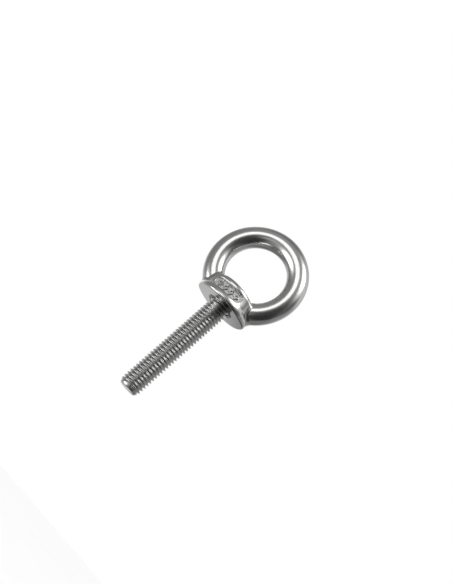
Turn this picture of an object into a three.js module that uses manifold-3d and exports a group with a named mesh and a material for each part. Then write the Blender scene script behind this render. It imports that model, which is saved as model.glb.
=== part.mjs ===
// Lifting eye bolt with a long, fully threaded M10 stud.
//
// Frame: millimetres, +Z up. The origin is the centre of the seat face, on the thread's axis.
// +Z points along the thread's axis towards the eye. The eye's ring lies in the XZ plane, and the
// collar's marked face looks towards -Y.
//
// Pieces: the head (ring and collar in one), the stud screwed into it, and the bead that locks the stud.

import * as THREE from "three";
import { mergeVertices } from "three/addons/utils/BufferGeometryUtils.js";
import Module from "manifold-3d";

// ---------- driving dimensions ----------

const RING_RADIUS = 17.25; // centre line of the eye's round section
const RING_SECTION = 4.6; // radius of that section
const RING_HEIGHT = 20.1; // seat face to the eye's centre

const RIM_RADIUS = 12.55; // the collar's round rim
const RIM_HEIGHT = 1.6; // height of the rim's upright edge
const SEAT_EDGE = 1.1; // rounding of the rim's lower edge
const HUB_FOOT = [11.95, 2.6]; // radius and height at which the drafted hub starts
const HUB_TOP_RADIUS = 10.7; // radius of the hub at its top
const HUB_TOP = 9.7; // highest point of the saddle
const SADDLE_RADIUS = 60; // the saddle's arc from side to side
const FACE_REACH = 11.5; // axis to the front and back faces, at their middle height
const FACE_CURVE = 17.6; // plan radius of those faces
const FACE_LEAN = 0.279; // how steeply they lean back at their middle height
const FACE_HOLLOW = 0.04; // their hollow in side view, per millimetre
const FACE_MIDDLE = 4.5; // the middle height itself
const FACE_UPRIGHT = 8; // height from which they stand upright

const THREAD_PITCH = 1.5; // M10 coarse
const THREAD_CREST = 4.925; // crest radius, in the middle of the 6g tolerance
const THREAD_ROOT = 4.05; // root radius
const CREST_WIDTH = THREAD_PITCH / 8; // flat on each crest
const ROOT_WIDTH = THREAD_PITCH / 4; // flat in each root
const STUD_LENGTH = 50; // free length below the seat face
const STUD_ENGAGED = 7.8; // length screwed into the head
const TIP_CHAMFER = 1.4; // lead at the free end
const TIP_RADIUS = 3.6; // flat end face
const INNER_CHAMFER = 0.8; // lead at the end inside the head

const CLEARANCE = 0.3; // gap between two pieces that meet
const COUNTERSINK_RADIUS = 6.5; // mouth of the tapped hole, at 45 degrees
const BEAD_DROP = 0.35; // how far the bead hangs below the seat face

const PANEL_HALF_WIDTH = 6.6; // sunk panel on the marked face
const PANEL_HALF_HEIGHT = 1.85;
const PANEL_MIDDLE = 5;
const PANEL_CORNER = 1.2;
const PANEL_FLOOR = 9.4; // axis to the panel's floor
const PANEL_LEAN = 14; // degrees that the floor leans back
const RELIEF_COUNT = 4; // raised lozenges in the panel
const RELIEF_PITCH = 2.9;
const RELIEF_HALF_WIDTH = 1.35;
const RELIEF_HALF_HEIGHT = 1.7;
const RELIEF_HEIGHT = 0.6;

// ---------- fineness of the facets ----------

const RING_STEPS = 60;
const SECTION_STEPS = 24;
const ROUND_STEPS = 48;
const FACE_STEPS = 72;
const HOLE_STEPS = 40;
const THREAD_STEPS = 20;

const wasm = await Module();
wasm.setup();

// ---------- joining and cutting ----------

// A closed three.js geometry as a solid.
function solid(geometry) {
  const bare = geometry.index ? geometry.toNonIndexed() : geometry.clone();
  bare.deleteAttribute("normal");
  bare.deleteAttribute("uv");
  const merged = mergeVertices(bare, 1e-4);
  return new wasm.Manifold(
    new wasm.Mesh({
      numProp: 3,
      vertProperties: new Float32Array(merged.attributes.position.array),
      triVerts: new Uint32Array(merged.index.array),
    }),
  );
}

// A solid as a three.js geometry.
function geometryOf(body) {
  const mesh = body.getMesh();
  const geometry = new THREE.BufferGeometry();
  geometry.setAttribute("position", new THREE.BufferAttribute(mesh.vertProperties, 3));
  geometry.setIndex(new THREE.BufferAttribute(mesh.triVerts, 1));
  geometry.computeVertexNormals();
  return geometry;
}

// ---------- shapes ----------

// A body of revolution about Z from a profile of [radius, height] points that runs upwards.
function revolved(profile, steps) {
  const points = profile.map(([radius, height]) => new THREE.Vector2(radius, height));
  return new THREE.LatheGeometry(points, steps).rotateX(Math.PI / 2);
}

// An outline drawn in XZ, pushed out along Y from y0 to y1.
function extrudedAlongY(outline, y0, y1) {
  const geometry = new THREE.ExtrudeGeometry(outline, {
    depth: y1 - y0,
    bevelEnabled: false,
    curveSegments: 8,
  });
  return geometry.rotateX(Math.PI / 2).translate(0, y1, 0);
}

function roundedRectangle(x0, z0, x1, z1, corner) {
  const outline = new THREE.Shape();
  outline.moveTo(x0 + corner, z0);
  outline.lineTo(x1 - corner, z0);
  outline.absarc(x1 - corner, z0 + corner, corner, -Math.PI / 2, 0, false);
  outline.lineTo(x1, z1 - corner);
  outline.absarc(x1 - corner, z1 - corner, corner, 0, Math.PI / 2, false);
  outline.lineTo(x0 + corner, z1);
  outline.absarc(x0 + corner, z1 - corner, corner, Math.PI / 2, Math.PI, false);
  outline.lineTo(x0, z0 + corner);
  outline.absarc(x0 + corner, z0 + corner, corner, Math.PI, 1.5 * Math.PI, false);
  return outline;
}

// ---------- the head ----------

// The eye's ring, above the seat plane only.
function ring() {
  const torus = new THREE.TorusGeometry(RING_RADIUS, RING_SECTION, SECTION_STEPS, RING_STEPS);
  torus.rotateX(Math.PI / 2).translate(0, 0, RING_HEIGHT);
  const reach = 3 * RING_RADIUS;
  const above = new THREE.BoxGeometry(reach, reach, reach).translate(0, 0, reach / 2);
  return solid(torus).intersect(solid(above));
}

// The round body that a broad front face is part of, about an upright axis behind that face.
function faceBody() {
  const profile = [[0, -1]];
  for (let height = -1; height <= HUB_TOP + 1; height += 1) {
    const rise = Math.min(height, FACE_UPRIGHT) - FACE_MIDDLE;
    profile.push([FACE_CURVE - FACE_LEAN * rise + FACE_HOLLOW * rise * rise, height]);
  }
  profile.push([0, HUB_TOP + 1]);
  return revolved(profile, FACE_STEPS).translate(0, FACE_CURVE - FACE_REACH, 0);
}

// The saddle's side view: everything below a wide arc.
function belowSaddle() {
  const centre = HUB_TOP - SADDLE_RADIUS;
  const half = RIM_RADIUS + 1;
  const end = Math.acos(half / SADDLE_RADIUS);
  const outline = new THREE.Shape();
  outline.moveTo(-half, -1);
  outline.lineTo(half, -1);
  outline.absarc(0, centre, SADDLE_RADIUS, end, Math.PI - end, false);
  outline.closePath();
  return extrudedAlongY(outline, -half, half);
}

// The collar: a round rim, and the drafted hub above it with its two broad faces and its saddle.
function collar() {
  const edge = [];
  for (let step = 0; step <= 4; step += 1) {
    const angle = (step / 4) * (Math.PI / 2);
    const radius = RIM_RADIUS - SEAT_EDGE * (1 - Math.sin(angle));
    edge.push([radius, SEAT_EDGE * (1 - Math.cos(angle))]);
  }
  const top = HUB_TOP + 1;
  const rim = [RIM_RADIUS, RIM_HEIGHT];
  const profile = [[0, 0], ...edge, rim, HUB_FOOT, [HUB_TOP_RADIUS, top], [0, top]];
  const front = faceBody();
  const back = front.clone().rotateZ(Math.PI);
  return [front, back, belowSaddle()]
    .map(solid)
    .reduce((body, cutter) => body.intersect(cutter), solid(revolved(profile, ROUND_STEPS)));
}

// The countersunk hole that takes the stud, from below the seat face to above the saddle.
function studHole() {
  const bore = THREAD_CREST + CLEARANCE;
  const below = 1;
  const profile = [
    [0, -below],
    [COUNTERSINK_RADIUS + below, -below],
    [bore, COUNTERSINK_RADIUS - bore],
    [bore, HUB_TOP + 1],
    [0, HUB_TOP + 1],
  ];
  return solid(revolved(profile, HOLE_STEPS));
}

// The sunk panel on the marked face, with a plain row of raised lozenges left standing in it.
function panelCut() {
  const halfWidth = PANEL_HALF_WIDTH;
  const halfHeight = PANEL_HALF_HEIGHT;
  const outline = roundedRectangle(-halfWidth, -halfHeight, halfWidth, halfHeight, PANEL_CORNER);
  let cut = solid(extrudedAlongY(outline, -5, 0));
  for (let place = 0; place < RELIEF_COUNT; place += 1) {
    const x = (place - (RELIEF_COUNT - 1) / 2) * RELIEF_PITCH;
    const lozenge = new THREE.Shape();
    lozenge.moveTo(x, -RELIEF_HALF_HEIGHT);
    lozenge.lineTo(x + RELIEF_HALF_WIDTH, 0);
    lozenge.lineTo(x, RELIEF_HALF_HEIGHT);
    lozenge.lineTo(x - RELIEF_HALF_WIDTH, 0);
    lozenge.closePath();
    cut = cut.subtract(solid(extrudedAlongY(lozenge, -RELIEF_HEIGHT, 1)));
  }
  return cut.rotate([-PANEL_LEAN, 0, 0]).translate([0, -PANEL_FLOOR, PANEL_MIDDLE]);
}

function eyeHead() {
  return geometryOf(ring().add(collar()).subtract(studHole()).subtract(panelCut()));
}

// ---------- the stud ----------

// A right-hand thread from bottom to top, closed at both ends. Each row of corners follows the helix,
// so after a full turn a row meets the row that lies one tooth above it.
function thread(bottom, top) {
  const flank = (THREAD_PITCH - CREST_WIDTH - ROOT_WIDTH) / 2;
  const tooth = [
    [THREAD_ROOT, 0],
    [THREAD_ROOT, ROOT_WIDTH],
    [THREAD_CREST, ROOT_WIDTH + flank],
    [THREAD_CREST, ROOT_WIDTH + flank + CREST_WIDTH],
  ];
  const lastRow = Math.ceil((top - bottom) / THREAD_PITCH) * tooth.length;
  const positions = [];
  for (let row = 0; row <= lastRow; row += 1) {
    const [radius, rise] = tooth[row % tooth.length];
    const start = bottom + Math.floor(row / tooth.length) * THREAD_PITCH + rise;
    for (let step = 0; step < THREAD_STEPS; step += 1) {
      const share = step / THREAD_STEPS;
      const angle = share * 2 * Math.PI;
      const height = start + share * THREAD_PITCH;
      positions.push(radius * Math.cos(angle), radius * Math.sin(angle), height);
    }
  }
  const corner = (row, step) =>
    step < THREAD_STEPS ? row * THREAD_STEPS + step : (row + tooth.length) * THREAD_STEPS;

  const index = [];
  for (let row = 0; row < lastRow; row += 1) {
    const meetsRowAbove = row + 1 + tooth.length <= lastRow;
    const steps = meetsRowAbove ? THREAD_STEPS : THREAD_STEPS - 1;
    for (let step = 0; step < steps; step += 1) {
      const [low, lowNext] = [corner(row, step), corner(row, step + 1)];
      const [high, highNext] = [corner(row + 1, step), corner(row + 1, step + 1)];
      index.push(low, lowNext, highNext, low, highNext, high);
    }
  }

  // Each end is a fan from a point on the axis to the rim, which steps up or down one tooth at the seam.
  const closeEnd = (rim, height) => {
    const middle = positions.length / 3;
    positions.push(0, 0, height);
    rim.forEach((point, place) => index.push(middle, rim[(place + 1) % rim.length], point));
  };
  const steps = [...Array(THREAD_STEPS).keys()];
  const stepUp = [...Array(tooth.length).keys()];
  const bottomRim = steps.map((step) => corner(0, step));
  bottomRim.push(...stepUp.map((row) => corner(tooth.length - row, 0)));
  closeEnd(bottomRim, bottom - THREAD_PITCH);
  const topRim = steps.map((step) => corner(lastRow, step));
  topRim.push(...stepUp.map((row) => corner(lastRow - 1 - row, THREAD_STEPS - 1)));
  closeEnd(topRim.reverse(), top + 3 * THREAD_PITCH);

  const geometry = new THREE.BufferGeometry();
  geometry.setAttribute("position", new THREE.Float32BufferAttribute(positions, 3));
  geometry.setIndex(index);
  return geometry;
}

// The thread cut to length, with a lead at each end.
function threadedStud() {
  const blank = [
    [0, -STUD_LENGTH],
    [TIP_RADIUS, -STUD_LENGTH],
    [THREAD_CREST, TIP_CHAMFER - STUD_LENGTH],
    [THREAD_CREST + CLEARANCE, TIP_CHAMFER + THREAD_PITCH - STUD_LENGTH],
    [THREAD_CREST + CLEARANCE, STUD_ENGAGED - INNER_CHAMFER],
    [THREAD_CREST - INNER_CHAMFER, STUD_ENGAGED],
    [0, STUD_ENGAGED],
  ];
  const whole = thread(-STUD_LENGTH - THREAD_PITCH, STUD_ENGAGED + THREAD_PITCH);
  return geometryOf(solid(whole).intersect(solid(revolved(blank, ROUND_STEPS))));
}

// ---------- the locking bead ----------

// A ring that fills the countersink round the root of the stud.
function lockingBead() {
  const inner = THREAD_CREST + CLEARANCE;
  const cone = COUNTERSINK_RADIUS - CLEARANCE * Math.SQRT2;
  const profile = [
    [inner, -BEAD_DROP],
    [inner + 0.45, -0.8 * BEAD_DROP],
    [cone, 0],
    [inner, cone - inner],
    [inner, -BEAD_DROP],
  ];
  return revolved(profile, HOLE_STEPS);
}

// ---------- assembly ----------

const POLISHED_STEEL = { color: 0xc9c9c7, metalness: 1, roughness: 0.16 };
const THREADED_STEEL = { color: 0xb4b4b2, metalness: 1, roughness: 0.28 };
const BEAD_STEEL = { color: 0x9c9b98, metalness: 1, roughness: 0.4 };

function piece(name, geometry, finish) {
  const mesh = new THREE.Mesh(geometry, new THREE.MeshStandardMaterial(finish));
  mesh.name = name;
  return mesh;
}

const eyeBolt = new THREE.Group();
eyeBolt.add(piece("eye_head", eyeHead(), POLISHED_STEEL));
eyeBolt.add(piece("threaded_stud", threadedStud(), THREADED_STEEL));
eyeBolt.add(piece("locking_bead", lockingBead(), BEAD_STEEL));

export default eyeBolt;
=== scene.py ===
"""Looks for a lifting eye bolt: a polished eye and collar, a rolled M10 thread and the bead that locks it.

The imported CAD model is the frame. Shapes are worked out in millimetres in its frame and written in metres:
the origin is the centre of the seat face, +Z runs up the stud's axis to the eye, and the collar's marked
face looks towards -Y.
"""

import math

import bmesh
import bpy
import numpy as np
from mathutils import Matrix, Vector


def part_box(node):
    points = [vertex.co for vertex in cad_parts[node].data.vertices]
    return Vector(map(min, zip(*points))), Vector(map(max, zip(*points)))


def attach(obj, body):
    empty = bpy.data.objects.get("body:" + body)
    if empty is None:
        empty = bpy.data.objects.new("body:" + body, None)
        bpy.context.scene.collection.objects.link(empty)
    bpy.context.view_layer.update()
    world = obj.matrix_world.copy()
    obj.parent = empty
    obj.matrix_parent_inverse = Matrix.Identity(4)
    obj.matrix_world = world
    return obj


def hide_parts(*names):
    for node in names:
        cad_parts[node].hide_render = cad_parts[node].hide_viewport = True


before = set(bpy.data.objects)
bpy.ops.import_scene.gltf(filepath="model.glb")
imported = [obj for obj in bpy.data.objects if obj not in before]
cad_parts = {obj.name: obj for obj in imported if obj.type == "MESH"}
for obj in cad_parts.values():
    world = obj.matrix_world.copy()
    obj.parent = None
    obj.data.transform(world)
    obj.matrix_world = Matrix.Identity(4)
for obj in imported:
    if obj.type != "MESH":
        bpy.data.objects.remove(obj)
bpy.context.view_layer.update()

MM = 0.001

# ---------- sizes taken from the frame, in millimetres ----------


def node_box(node):
    """Lowest and highest corner of a CAD node, in millimetres."""
    low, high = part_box(node)
    return np.array(low) / MM, np.array(high) / MM


_, HEAD_HIGH = node_box("eye_head")
STUD_LOW, STUD_HIGH = node_box("threaded_stud")
BEAD_LOW, _ = node_box("locking_bead")

# the eye's ring: the radius of its round section, that of its middle line, and how high its centre is
RING_SECTION = 4.6
RING_RADIUS = HEAD_HIGH[0] - RING_SECTION
RING_HEIGHT = HEAD_HIGH[2] - HEAD_HIGH[0]

# the collar: a round rim under a drafted hub, whose front and back are broad curved faces
RIM_BULGE = 0.4
RIM_RADIUS = HEAD_HIGH[1] - RIM_BULGE
RIM_HEIGHT = 1.27
RIM_SHOULDER = 1.43
SEAT_EDGE = 1.0
SIDE_DRAFT = math.radians(8.3)
FACE_REACH = 11.34
FACE_CURVE = 19.15
FACE_LEAN = math.tan(math.radians(17.5))
FACE_HOLLOW = 0.058
FACE_MIDDLE = 4.5
FACE_UPRIGHT = 8.0
FACE_CORNER = 1.43
FACE_TOP_EDGE = 0.88
SADDLE_TOP = 9.34
SADDLE_RADIUS = 139.0
SADDLE_EDGE = 1.7
RING_FILLET = 0.66
RING_TOP_FILLET = 1.78
RING_FOOT_FILLET = 3.2
RIM_FILLET = 1.06
# the saddle's edges and fillets take over from this far below its top, over this height
TOP_EDGE_BELOW = 0.95
TOP_EDGE_RISE = 2.0
# the ring's foot fillet has faded out this far from the XZ plane, over this width
FOOT_REACH = 6.0
FOOT_FADE = 5.0

THREAD_CREST = STUD_HIGH[0]
THREAD_DEPTH = 1.08
THREAD_ROUNDING = 0.05
FLANK_ANGLE = math.radians(30)
PITCH = 1.5
CREST_FLAT = PITCH / 8
TIP = STUD_LOW[2]
TOP = STUD_HIGH[2]

BORE_RADIUS = THREAD_CREST + 0.12
BORE_EDGE = 0.12
BORE_PAST_SADDLE = 2.0
COUNTERSINK_RADIUS = 6.5

# the sunk panel on the marked face
PANEL_HALF = (6.9, 2.0)
PANEL_MIDDLE = 4.9
PANEL_CORNER = 1.9
PANEL_FLOOR = 9.1
PANEL_LEAN = math.tan(math.radians(10))
PANEL_CURVE = 80.0
PANEL_CURVE_REACH = 20.0
PANEL_DRAFT = 0.1
PANEL_EDGE = 0.3
RELIEF_COUNT = 4
RELIEF_PITCH = 2.9
RELIEF_HALF = (0.9, 1.25)
RELIEF_STROKE = 0.3
RELIEF_DRAFT = 0.2
RELIEF_HEIGHT = 0.6
RELIEF_EDGE = 0.16


# ---------- distance functions, in millimetres ----------


def rounded_and(a, b, radius):
    """The space inside both a and b, with their meeting edge rounded."""
    corner = np.hypot(np.maximum(a + radius, 0), np.maximum(b + radius, 0))
    return np.minimum(-radius, np.maximum(a, b)) + corner


def rounded_or(a, b, radius):
    """The space inside a or b, with a fillet where they meet."""
    corner = np.hypot(np.maximum(radius - a, 0), np.maximum(radius - b, 0))
    return np.maximum(radius, np.minimum(a, b)) - corner


def rounded_cut(a, b, radius):
    """The space inside a and outside b, with a rounded rim."""
    return rounded_and(a, -b, radius)


def rectangle_2d(u, v, half, corner):
    """Signed distance to a rounded rectangle about the origin."""
    du = np.abs(u) - half[0] + corner
    dv = np.abs(v) - half[1] + corner
    return np.hypot(np.maximum(du, 0), np.maximum(dv, 0)) + np.minimum(np.maximum(du, dv), 0) - corner


def lozenge_2d(u, v, half):
    """Signed distance, near enough, to a lozenge about the origin."""
    slope = math.hypot(half[0], half[1])
    return (np.abs(u) * half[1] + np.abs(v) * half[0] - half[0] * half[1]) / slope


def ring_distance(x, y, z):
    """Distance to the eye's ring."""
    return np.hypot(np.hypot(x, z - RING_HEIGHT) - RING_RADIUS, y) - RING_SECTION


def face_distance(x, depth, z):
    """Distance to the collar's front or back face, where depth is how far a point is from the XZ plane."""
    rise = np.clip(z, 0, FACE_UPRIGHT) - FACE_MIDDLE
    lean = FACE_LEAN * rise - FACE_HOLLOW * rise**2
    return (np.hypot(x, depth - FACE_REACH + FACE_CURVE) - FACE_CURVE + lean) / math.hypot(1, FACE_LEAN)


def collar_distance(x, y, z):
    """Distance to the rim, the hub and the ring running out of it, with fillets that vary with height."""
    radius = np.hypot(x, y)
    rim = rounded_and(radius - RIM_RADIUS, z - RIM_HEIGHT - RIM_SHOULDER, RIM_SHOULDER)
    side = (radius - RIM_RADIUS + (z - RIM_HEIGHT) * math.tan(SIDE_DRAFT)) * math.cos(SIDE_DRAFT)
    saddle = np.hypot(x, z - SADDLE_TOP + SADDLE_RADIUS) - SADDLE_RADIUS
    near_top = np.clip((z - SADDLE_TOP + TOP_EDGE_BELOW) / TOP_EDGE_RISE, 0, 1)
    near_top = near_top**2 * (3 - 2 * near_top)
    edge = FACE_CORNER + (FACE_TOP_EDGE - FACE_CORNER) * near_top
    fillet = RING_FILLET + (RING_TOP_FILLET - RING_FILLET) * near_top
    hub = rounded_and(side, saddle, SADDLE_EDGE)
    hub = rounded_and(hub, face_distance(x, np.abs(y), z), edge)
    hub = rounded_or(hub, ring_distance(x, y, z), fillet)
    under_ring = np.clip((FOOT_REACH - np.abs(y)) / FOOT_FADE, 0, 1)
    return rounded_or(hub, rim, RIM_FILLET + (RING_FOOT_FILLET - RIM_FILLET) * under_ring)


def relief_distance(x, z):
    """The raised strokes in the panel: a row of lozenges."""
    v = z - PANEL_MIDDLE
    span = RELIEF_PITCH * (RELIEF_COUNT - 1) / 2
    nearest = np.clip(np.round((x + span) / RELIEF_PITCH), 0, RELIEF_COUNT - 1)
    u = x - (nearest * RELIEF_PITCH - span)
    return np.abs(lozenge_2d(u, v, RELIEF_HALF)) - RELIEF_STROKE


def panel_distance(x, y, z):
    """The hollow of the sunk panel, less the relief that stands on its floor."""
    floor = PANEL_FLOOR - PANEL_LEAN * (z - PANEL_MIDDLE)
    # beyond its reach the floor's curve stays level, so that the root is always a real number
    curve = np.sqrt(PANEL_CURVE**2 - np.minimum(x**2, PANEL_CURVE_REACH**2))
    above = -y - floor + PANEL_CURVE - curve
    outline = rectangle_2d(x, z - PANEL_MIDDLE, PANEL_HALF, PANEL_CORNER)
    walls = (outline - PANEL_DRAFT * np.maximum(above, 0)) / math.hypot(1, PANEL_DRAFT)
    relief = np.maximum(relief_distance(x, z) + RELIEF_DRAFT * above, above - RELIEF_HEIGHT)
    return rounded_cut(np.maximum(walls, -above), relief, RELIEF_EDGE)


def head_distance(x, y, z):
    """Distance to the whole head, with the stud's bore and the panel cut out of it."""
    body = rounded_and(collar_distance(x, y, z), -z, SEAT_EDGE)
    bore = np.hypot(x, y) - np.maximum(BORE_RADIUS, COUNTERSINK_RADIUS - z)
    bore = np.maximum(bore, z - SADDLE_TOP - BORE_PAST_SADDLE)
    body = rounded_cut(body, bore, BORE_EDGE)
    return rounded_cut(body, panel_distance(x, y, z), PANEL_EDGE)


# ---------- meshes ----------


def new_object(name, points_mm, faces, smooth=True):
    """A mesh object from points in millimetres and an array of faces with equal numbers of corners."""
    faces = np.asarray(faces, np.int32)
    corners = faces.shape[1]
    mesh = bpy.data.meshes.new(name)
    mesh.vertices.add(len(points_mm))
    mesh.vertices.foreach_set("co", (np.asarray(points_mm) * MM).astype(np.float32).ravel())
    mesh.loops.add(faces.size)
    mesh.loops.foreach_set("vertex_index", faces.ravel())
    mesh.polygons.add(len(faces))
    mesh.polygons.foreach_set("loop_start", np.arange(0, faces.size, corners, dtype=np.int32))
    mesh.update(calc_edges=True)
    mesh.polygons.foreach_set("use_smooth", np.full(len(faces), smooth))
    mesh.validate()
    piece = bpy.data.objects.new(name, mesh)
    bpy.context.scene.collection.objects.link(piece)
    return piece


def graded(stops):
    """Grid lines through (place, spacing) stops: each spacing holds up to the next place."""
    lines = [np.array([stops[0][0]])]
    for (start, spacing), (end, _) in zip(stops[:-1], stops[1:]):
        count = max(1, math.ceil((end - start) / spacing))
        lines.append(np.linspace(start, end, count + 1)[1:])
    return np.concatenate(lines)


def gradient(distance, points, step=0.01):
    """The slope of a distance function at each point."""
    slopes = []
    for axis in range(3):
        shift = np.zeros(3)
        shift[axis] = step
        ahead = distance(*(points + shift).T)
        behind = distance(*(points - shift).T)
        slopes.append((ahead - behind) / (2 * step))
    return np.stack(slopes, 1)


def implicit_surface(distance, xs, ys, zs):
    """Points and quads of the surface where the distance is zero, found on a grid and then drawn onto it."""
    values = distance(xs[:, None, None], ys[None, :, None], zs[None, None, :])
    inside = values < 0
    cells = np.zeros(tuple(n - 1 for n in inside.shape), np.int8)
    corners = [(i, j, k) for i in (0, 1) for j in (0, 1) for k in (0, 1)]

    def at_corner(grid, corner):
        return grid[tuple(slice(c, c + n) for c, n in zip(corner, cells.shape))]

    for corner in corners:
        cells += at_corner(inside, corner)
    crossed = (cells > 0) & (cells < 8)
    place = np.argwhere(crossed)
    number = np.full(cells.shape, -1, np.int64)
    number[crossed] = np.arange(len(place))

    # a point in each crossed cell: the mean of where its edges cross the surface
    total = np.zeros((len(place), 3))
    count = np.zeros(len(place))
    lines = (xs, ys, zs)
    for axis in range(3):
        for corner in corners:
            if corner[axis]:
                continue
            near = place + corner
            far = near.copy()
            far[:, axis] += 1
            a, b = values[tuple(near.T)], values[tuple(far.T)]
            crosses = (a < 0) != (b < 0)
            share = np.where(crosses, a / np.where(crosses, a - b, 1), 0)
            start = np.stack([lines[i][near[:, i]] for i in range(3)], 1)
            end = np.stack([lines[i][far[:, i]] for i in range(3)], 1)
            total += np.where(crosses[:, None], start + share[:, None] * (end - start), 0)
            count += crosses
    points = total / count[:, None]

    quads = []
    for axis in range(3):
        u, v = (axis + 1) % 3, (axis + 2) % 3
        low = [slice(None)] * 3
        high = [slice(None)] * 3
        low[axis], high[axis] = slice(0, -1), slice(1, None)
        for side in (u, v):
            low[side] = high[side] = slice(1, -1)
        first, second = inside[tuple(low)], inside[tuple(high)]
        edge = np.argwhere(first != second)
        outward = first[tuple(edge.T)]
        edge[:, u] += 1
        edge[:, v] += 1
        around = []
        for du, dv in ((0, 0), (-1, 0), (-1, -1), (0, -1)):
            cell = edge.copy()
            cell[:, u] += du
            cell[:, v] += dv
            around.append(number[tuple(cell.T)])
        quad = np.stack(around, 1)
        quads.append(np.where(outward[:, None], quad, quad[:, ::-1]))

    # a few steps along the slope, each held under half a cell, draw the points onto the surface
    steps, least_slope_squared = 4, 0.2
    reach = 0.5 * min(np.diff(line).min() for line in lines)
    for _ in range(steps):
        slope = gradient(distance, points)
        off = distance(*points.T)
        move = slope * (off / np.maximum((slope**2).sum(1), least_slope_squared))[:, None]
        length = np.linalg.norm(move, axis=1, keepdims=True)
        points -= move * np.minimum(1, reach / np.maximum(length, 1e-9))
    return points, np.concatenate(quads)


def build_head():
    """The eye and collar as one smooth casting."""
    # the grid is fine over the collar and its marked face, and reaches a little past the head all round
    fine, coarse = 0.16, 0.34
    bottom, collar_top, top = -0.3, 10.4, 42.4
    collar, side = 13.0, 22.2
    panel_back, back = -8.0, 13.1
    xs = graded([(-side, coarse), (-collar, fine), (collar, coarse), (side, 0)])
    ys = graded([(-collar, fine), (panel_back, coarse), (back, 0)])
    zs = graded([(bottom, fine), (collar_top, coarse), (top, 0)])
    points, quads = implicit_surface(head_distance, xs, ys, zs)
    piece = new_object("polished_eye_head", points, quads)
    slope = gradient(head_distance, points, step=0.02)
    normals = slope / np.linalg.norm(slope, axis=1, keepdims=True)
    piece.data.normals_split_custom_set_from_vertices(normals.astype(np.float32))
    return piece


def thread_radius(along):
    """Radius of a rolled M10 thread at a distance along the axis from the middle of a crest."""
    away = np.abs((along + PITCH / 2) % PITCH - PITCH / 2)
    depth = (away - CREST_FLAT / 2) / math.tan(FLANK_ANGLE)
    # the depth, held between the crest and the root by two soft limits that round their corners
    below_crest = 0.5 * (depth + np.sqrt(depth**2 + THREAD_ROUNDING**2))
    root_corner = np.sqrt((below_crest - THREAD_DEPTH) ** 2 + 4 * THREAD_ROUNDING**2)
    return THREAD_CREST - (below_crest + THREAD_DEPTH - root_corner) / 2


def build_stud():
    """The thread as a grid whose rows follow the helix, closed by a lead and a flat face at each end."""
    around, per_turn = 96, 24
    # radii of the flat end faces, and how near the axis their points are drawn onto it
    flat_tip, flat_top, centre = 3.6, 3.9, 0.06
    # the tip's lead: how far its rounded edge rises and over what depth, then how its flare opens
    edge_rise, edge_depth = 0.4, 0.25
    flare_slope, flare_curve = 0.1, 0.2
    turns = math.ceil((TOP - TIP + flat_tip + flat_top) / PITCH) + 2
    first = TIP - flat_tip - PITCH
    rows = turns * per_turn + 1
    row = np.arange(rows)[:, None]
    step = np.arange(around)[None, :]
    angle = step / around * 2 * math.pi
    # distance along the stud's own outline, which turns in over the end faces
    along = first + (row / per_turn + step / around) * PITCH
    height = np.clip(along, TIP, TOP)
    from_tip = np.maximum(along - TIP, 0)
    from_top = np.maximum(TOP - along, 0)
    tip_edge = edge_rise * (1 - np.exp(-from_tip / edge_depth))
    tip_lead = flat_tip + tip_edge + flare_slope * from_tip + flare_curve * from_tip**2
    top_lead = flat_top + from_top
    limit = np.minimum(tip_lead, top_lead)
    face = np.minimum(flat_tip - (TIP - along), flat_top - (along - TOP))
    on_end = (along < TIP) | (along > TOP)
    limit = np.where(on_end, np.maximum(face, 0), limit)
    radius = thread_radius(row / per_turn * PITCH)
    blend = 0.12
    radius = 0.5 * (radius + limit - np.sqrt((radius - limit) ** 2 + blend**2))
    radius = np.where(on_end, np.minimum(radius, limit), radius)
    radius = np.where(radius < centre, 0, radius)
    points = np.stack([radius * np.cos(angle), radius * np.sin(angle), height], 2).reshape(-1, 3)

    index = np.arange(rows * around).reshape(rows, around)
    low, high = index[:-1], index[1:]
    low_next = np.concatenate([low[:, 1:], np.roll(index, -per_turn, 0)[:-1, :1]], 1)
    high_next = np.concatenate([high[:, 1:], np.roll(index, -per_turn, 0)[1:, :1]], 1)
    quads = np.stack([low, low_next, high_next, high], 2)
    seam = quads[: rows - 1 - per_turn, -1:].reshape(-1, 4)
    wall = quads[:, :-1].reshape(-1, 4)
    piece = new_object("rolled_thread_stud", points, np.concatenate([wall, seam]))
    weld(piece)
    return piece


def weld(piece, distance=1e-6):
    """Joins points that coincide and drops faces that closed up."""
    mesh = bmesh.new()
    mesh.from_mesh(piece.data)
    bmesh.ops.remove_doubles(mesh, verts=mesh.verts, dist=distance)
    bmesh.ops.dissolve_degenerate(mesh, edges=mesh.edges, dist=distance)
    mesh.to_mesh(piece.data)
    mesh.free()


def build_bead():
    """A slightly uneven ring of metal in the countersink."""
    around, across = 160, 14
    inner, outer = THREAD_CREST + 0.02, COUNTERSINK_RADIUS - 0.25
    # half its section's height, how high its middle is, and how far it may reach below the CAD bead
    half_height, middle_height, sunk = 0.42, 0.22, 0.05
    # the lumps: how strong each wave is, how often it goes round the ring, and where it starts
    waves = ((0.10, 3, 0.7), (0.07, 7, 2.1), (0.05, 13, 0))
    angle = np.arange(around)[:, None] / around * 2 * math.pi
    turn = np.arange(across)[None, :] / across * 2 * math.pi
    lumps = sum(size * np.sin(count * angle + start) for size, count, start in waves)
    middle = (inner + outer) / 2
    half = (outer - inner) / 2
    radius = middle + half * np.cos(turn)
    height = middle_height + half_height * (1 + lumps) * np.sin(turn)
    height = np.maximum(height, BEAD_LOW[2] - sunk)
    points = np.stack([radius * np.cos(angle), radius * np.sin(angle), height], 2).reshape(-1, 3)
    index = np.arange(around * across).reshape(around, across)
    nearby = np.roll(index, -1, 1)
    quads = np.stack([index, np.roll(index, -1, 0), np.roll(nearby, -1, 0), nearby], 2)
    return new_object("lock_bead", points, quads.reshape(-1, 4))


# ---------- materials ----------

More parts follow.
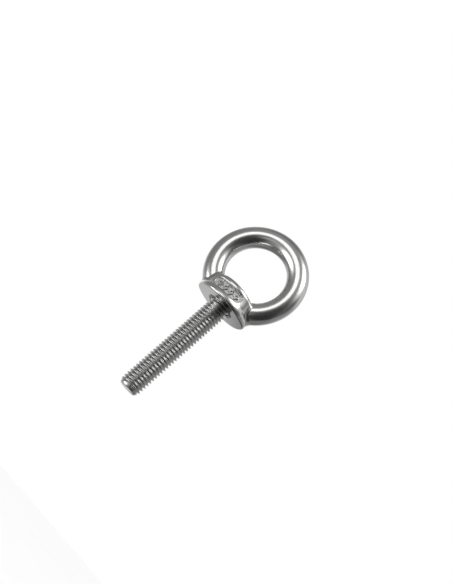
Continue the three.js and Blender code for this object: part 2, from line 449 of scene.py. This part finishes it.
# Places are in millimetres. The cast look shows between these heights over the panel's floor: it begins,
# is full, is full no more and has gone. It fades this far to either side of the panel's outline.
CAST_HEIGHTS = (-1.0, -0.4, 0.2, 0.6)
CAST_FADE = 0.2
CAST_ROUGHNESS = 0.34
# The seat's painted shade, a darker base colour that stands in for a dimmer reflection, fades out between
# these heights, and grows along x between these two places.
SEAT_SHADE_HEIGHTS = (0.1, 0.5)
SEAT_SHADE_PLACES = (-4.0, 11.0)
SEAT_SHADE_STRENGTH = 0.85
SEAT_SHADE_BRIGHTNESS = 0.12


class Nodes:
    """A material's node tree, with short ways to add and join nodes."""

    def __init__(self, name):
        self.material = bpy.data.materials.new(name)
        self.material.use_nodes = True
        self.tree = self.material.node_tree
        self.shader = self.tree.nodes["Principled BSDF"]
        coordinates = self.tree.nodes.new("ShaderNodeTexCoord")
        self.position = coordinates.outputs["Object"]

    def add(self, kind, **sockets):
        """A new node, with its named sockets set or joined."""
        node = self.tree.nodes.new(kind)
        for name, value in sockets.items():
            self.put(node.inputs[name.replace("_", " ")], value)
        return node

    def put(self, socket, value):
        """Joins a socket to another, or sets it to a plain value."""
        if isinstance(value, bpy.types.NodeSocket):
            self.tree.links.new(value, socket)
        else:
            socket.default_value = value

    def noise(self, scale, detail):
        """Noise with its scale in cells per metre."""
        node = self.add("ShaderNodeTexNoise", Vector=self.position, Scale=scale, Detail=detail)
        return node.outputs["Fac"]

    def range(self, value, low, high, to_low, to_high):
        """A value mapped from low and high to two other numbers, and held there beyond them."""
        node = self.tree.nodes.new("ShaderNodeMapRange")
        numbers = {"Value": value, "From Min": low, "From Max": high, "To Min": to_low, "To Max": to_high}
        for name, number in numbers.items():
            self.put(node.inputs[name], number)
        return node.outputs["Result"]

    def colour(self, factor, dark, light):
        """A mix of two colours."""
        node = self.tree.nodes.new("ShaderNodeMix")
        node.data_type = "RGBA"
        self.put(node.inputs["Factor"], factor)
        for socket, tone in ((node.inputs["A"], dark), (node.inputs["B"], light)):
            self.put(socket, (*tone, 1) if isinstance(tone, tuple) else tone)
        return node.outputs["Result"]

    def math(self, operation, a, b):
        """One operation on two values."""
        node = self.tree.nodes.new("ShaderNodeMath")
        node.operation = operation
        self.put(node.inputs[0], a)
        self.put(node.inputs[1], b)
        return node.outputs["Value"]

    def in_panel(self):
        """One on the floor of the sunk panel, nought on the rest of the head."""
        x, y, z = self.add("ShaderNodeSeparateXYZ", Vector=self.position).outputs
        rise = self.math("SUBTRACT", z, PANEL_MIDDLE * MM)
        lean = self.math("MULTIPLY", rise, PANEL_LEAN)
        above = self.math("SUBTRACT", self.math("SUBTRACT", lean, y), PANEL_FLOOR * MM)
        begins, full, full_to, gone = (height * MM for height in CAST_HEIGHTS)
        inside = self.range(above, full_to, gone, 1, 0)
        for offset, half in zip((x, rise), PANEL_HALF):
            away = self.math("ABSOLUTE", offset, 0.0)
            near = self.range(away, (half - CAST_FADE) * MM, (half + CAST_FADE) * MM, 1, 0)
            inside = self.math("MULTIPLY", inside, near)
        return self.math("MULTIPLY", inside, self.range(above, begins, full, 0, 1))

    def bump(self, height, strength, distance, over=None):
        """A normal tilted by a height, on top of another normal if one is given."""
        node = self.add("ShaderNodeBump", Height=height, Strength=strength, Distance=distance)
        if over is not None:
            self.put(node.inputs["Normal"], over)
        return node.outputs["Normal"]


def grey(brightness):
    """The colour of bare stainless steel, a grey that is very slightly warm."""
    return brightness, brightness, brightness * 0.99


def steel(name, tones, polish, mottling, mark_strength, mark_height):
    """Bare stainless steel: metallic and faintly mottled, with an uneven polish and fine marks.

    The two tones are its darkest and lightest grey, polish is its lowest and highest roughness, mottling is
    in patches per metre, and the marks' height is in millimetres.
    """
    nodes = Nodes(name)
    shader = nodes.shader.inputs
    marks = nodes.noise(2600.0, 5.0)
    nodes.put(shader["Base Color"], nodes.colour(nodes.noise(mottling, 4.0), grey(tones[0]), grey(tones[1])))
    nodes.put(shader["Metallic"], 1.0)
    nodes.put(shader["Roughness"], nodes.range(marks, 0.3, 0.7, *polish))
    nodes.put(shader["Normal"], nodes.bump(marks, mark_strength, mark_height * MM))
    return nodes


def polished_steel():
    """Polished all over, with painted shade darkening the seat's colour towards one side, and left as cast
    on the panel's floor.
    """
    nodes = steel("polished_steel", (0.55, 0.66), (0.17, 0.25), 140.0, 0.35, 0.012)
    shader = nodes.shader.inputs
    bright = shader["Base Color"].links[0].from_socket
    polish = shader["Roughness"].links[0].from_socket
    marked = shader["Normal"].links[0].from_socket

    x, _, z = nodes.add("ShaderNodeSeparateXYZ", Vector=nodes.position).outputs
    # painted shade: the seat's base colour darkens towards +x, standing in for a dimmer reflection there
    on_seat = nodes.range(z, *(height * MM for height in SEAT_SHADE_HEIGHTS), 1, 0)
    to_one_side = nodes.range(x, *(place * MM for place in SEAT_SHADE_PLACES), 0, SEAT_SHADE_STRENGTH)
    painted_seat_shade = nodes.math("MULTIPLY", on_seat, to_one_side)
    nodes.put(shader["Base Color"], nodes.colour(painted_seat_shade, bright, grey(SEAT_SHADE_BRIGHTNESS)))

    cast = nodes.in_panel()
    cast_roughness = nodes.math("MULTIPLY", cast, CAST_ROUGHNESS)
    nodes.put(shader["Roughness"], nodes.math("MAXIMUM", polish, cast_roughness))
    grain = nodes.math("MULTIPLY", cast, nodes.noise(1800.0, 4.0))
    nodes.put(shader["Normal"], nodes.bump(grain, 0.3, 0.05 * MM, marked))
    return nodes.material


def threaded_steel():
    """Rolled thread, bright and hardly marked."""
    return steel("rolled_thread_steel", (0.5, 0.62), (0.2, 0.27), 300.0, 0.05, 0.01).material


def bead_steel():
    """Darker and rougher metal."""
    return steel("bead_steel", (0.2, 0.42), (0.3, 0.5), 900.0, 0.35, 0.06).material


def finish_piece(piece, material, node):
    """Gives a piece its material, hides the CAD node it stands for and hangs it under the root body."""
    piece.data.materials.append(material)
    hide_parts(node)
    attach(piece, "root")


# ---------- camera ----------

# lengths in millimetres, angles in degrees
CAMERA_TARGET = (-3.8, 2.5, 6.9)
CAMERA_DISTANCE = 400.0
CAMERA_AZIMUTH = 17.67
CAMERA_ELEVATION = -14.9
CAMERA_ROLL = 48.79
LENS_MM = 60.17
SENSOR_MM = 36.0
NEAREST_SEEN = 10.0


def camera_axes():
    """The camera's right, up and back directions."""
    azimuth, elevation = math.radians(CAMERA_AZIMUTH), math.radians(CAMERA_ELEVATION)
    back = Vector(
        (
            math.sin(azimuth) * math.cos(elevation),
            -math.cos(azimuth) * math.cos(elevation),
            math.sin(elevation),
        )
    )
    level_right = Vector((0, 0, 1)).cross(back).normalized()
    level_up = back.cross(level_right)
    roll = math.radians(CAMERA_ROLL)
    up = level_up * math.cos(roll) - level_right * math.sin(roll)
    return up.cross(back), up, back


def make_camera():
    """The one camera, which looks up at the bolt from below and to its right."""
    right, up, back = camera_axes()
    data = bpy.data.cameras.new("camera")
    data.sensor_width = SENSOR_MM
    data.lens = LENS_MM
    data.clip_start = NEAREST_SEEN * MM
    camera = bpy.data.objects.new("camera", data)
    turn = Matrix((right, up, back)).transposed().to_4x4()
    place = Vector(CAMERA_TARGET) * MM + back * CAMERA_DISTANCE * MM
    camera.matrix_world = Matrix.Translation(place) @ turn
    bpy.context.scene.collection.objects.link(camera)
    bpy.context.scene.camera = camera


# ---------- studio ----------

# Softboxes round the camera: degrees to its right and up from it, width and height in degrees, brightness.
SOFTBOXES = {
    "softbox_left": (-64, 15, 36, 38, 3.4),
    "softbox_right": (74, 22, 34, 32, 3.6),
    "softbox_top": (-3, 46, 40, 26, 1.5),
}
# in metres, as is the floor's height
SOFTBOX_DISTANCE = 0.9

# What the polished metal mirrors between them. Each patch of the room: degrees to the camera's right and up
# from it, the radius it fills and the radius where it has faded out, in degrees, and its brightness.
ROOM_BRIGHTNESS = 0.36
ROOM_PATCHES = {
    "table_beyond": (180, 5, 20, 75, 0.85),
    "right_wall": (135, 4, 18, 50, 0.62),
    "left_wall": (-112, -4, 6, 28, 0.62),
    "right_wall_near": (108, -8, 8, 28, 0.78),
    "low_left": (-100, -55, 30, 65, 0.2),
    "high_left": (-110, 58, 15, 50, 0.27),
    "high_right": (122, 52, 8, 34, 0.2),
    "dark_behind_camera": (12, -12, 22, 46, 0.05),
    "dark_below_camera": (14, -45, 18, 38, 0.035),
    "dark_right_of_camera": (62, -28, 8, 30, 0.12),
    "gap_in_the_dark": (-18, 5, 5, 16, 0.52),
    "low_left_of_camera": (-42, -50, 4, 24, 0.18),
    "below": (20, -84, 8, 24, 0.26),
    "glow_round_left": (-64, 13, 14, 34, 1.1),
    "glow_round_right": (73, 20, 14, 34, 1.0),
    "softbox_behind": (178, 8, 5, 17, 2.4),
}
FLOOR_HEIGHT = -0.25


def studio_direction(across, above):
    """A direction that many degrees to the camera's right and above it."""
    right, up, back = camera_axes()
    across, above = math.radians(across), math.radians(above)
    level = back * math.cos(across) + right * math.sin(across)
    return level * math.cos(above) + up * math.sin(above)


def make_softbox(name, across, above, width, height, brightness):
    """An oval area light that faces the bolt."""
    data = bpy.data.lights.new(name, "AREA")
    data.shape = "ELLIPSE"
    data.size = 2 * SOFTBOX_DISTANCE * math.tan(math.radians(width / 2))
    data.size_y = 2 * SOFTBOX_DISTANCE * math.tan(math.radians(height / 2))
    # an area light's power for a given radiance: pi times its area times the radiance
    area = math.pi / 4 * data.size * data.size_y
    data.energy = brightness * math.pi * area
    lamp = bpy.data.objects.new(name, data)
    back = studio_direction(across, above)
    _, up, _ = camera_axes()
    side = up.cross(back).normalized()
    turn = Matrix((side, back.cross(side), back)).transposed().to_4x4()
    lamp.matrix_world = Matrix.Translation(back * SOFTBOX_DISTANCE) @ turn
    lamp.visible_camera = False
    bpy.context.scene.collection.objects.link(lamp)


def make_world():
    """Plain white, except that polished metal mirrors a grey room with soft lighter and darker sides."""
    world = bpy.data.worlds.new("studio")
    world.use_nodes = True
    bpy.context.scene.world = world
    tree = world.node_tree
    tree.nodes.clear()
    add, join = tree.nodes.new, tree.links.new
    direction = add("ShaderNodeTexCoord").outputs["Generated"]

    def patched(room, across, above, inner, outer, brightness):
        """The room with a soft-edged round patch of another brightness."""
        dot = add("ShaderNodeVectorMath")
        dot.operation = "DOT_PRODUCT"
        join(direction, dot.inputs[0])
        dot.inputs[1].default_value = studio_direction(across, above)
        patch = add("ShaderNodeMapRange")
        patch.interpolation_type = "SMOOTHSTEP"
        join(dot.outputs["Value"], patch.inputs["Value"])
        patch.inputs["From Min"].default_value = math.cos(math.radians(outer))
        patch.inputs["From Max"].default_value = math.cos(math.radians(inner))
        mixed = add("ShaderNodeMix")
        join(patch.outputs["Result"], mixed.inputs["Factor"])
        if room is None:
            mixed.inputs["A"].default_value = ROOM_BRIGHTNESS
        else:
            join(room, mixed.inputs["A"])
        mixed.inputs["B"].default_value = brightness
        return mixed.outputs["Result"]

    room = None
    for facts in ROOM_PATCHES.values():
        room = patched(room, *facts)
    mirrored = add("ShaderNodeBackground")
    join(room, mirrored.inputs["Strength"])
    plain = add("ShaderNodeBackground")
    pick = add("ShaderNodeMixShader")
    join(add("ShaderNodeLightPath").outputs["Is Glossy Ray"], pick.inputs["Fac"])
    join(plain.outputs[0], pick.inputs[1])
    join(mirrored.outputs[0], pick.inputs[2])
    join(pick.outputs[0], add("ShaderNodeOutputWorld").inputs["Surface"])
    for background in (mirrored, plain):
        background.inputs["Color"].default_value = (1, 1, 1, 1)


def make_floor():
    """A plain pale floor, well below the bolt."""
    size = 6000.0
    corners = [(-size, -size), (size, -size), (size, size), (-size, size)]
    points = [(x, y, FLOOR_HEIGHT / MM) for x, y in corners]
    floor = new_object("floor", np.array(points), [[0, 1, 2, 3]], smooth=False)
    nodes = Nodes("pale_floor")
    shader = nodes.shader.inputs
    tone = nodes.noise(scale=3.0, detail=2.0)
    nodes.put(shader["Base Color"], nodes.colour(tone, (0.95, 0.95, 0.95), (0.98, 0.98, 0.98)))
    nodes.put(shader["Roughness"], 0.9)
    nodes.put(shader["Specular IOR Level"], 0.0)
    floor.data.materials.append(nodes.material)
    floor.visible_glossy = False


# ---------- the scene ----------

finish_piece(build_head(), polished_steel(), "eye_head")
finish_piece(build_stud(), threaded_steel(), "threaded_stud")
finish_piece(build_bead(), bead_steel(), "locking_bead")

make_camera()
make_world()
for softbox, facts in SOFTBOXES.items():
    make_softbox(softbox, *facts)
make_floor()
bpy.context.scene.view_settings.view_transform = "Standard"
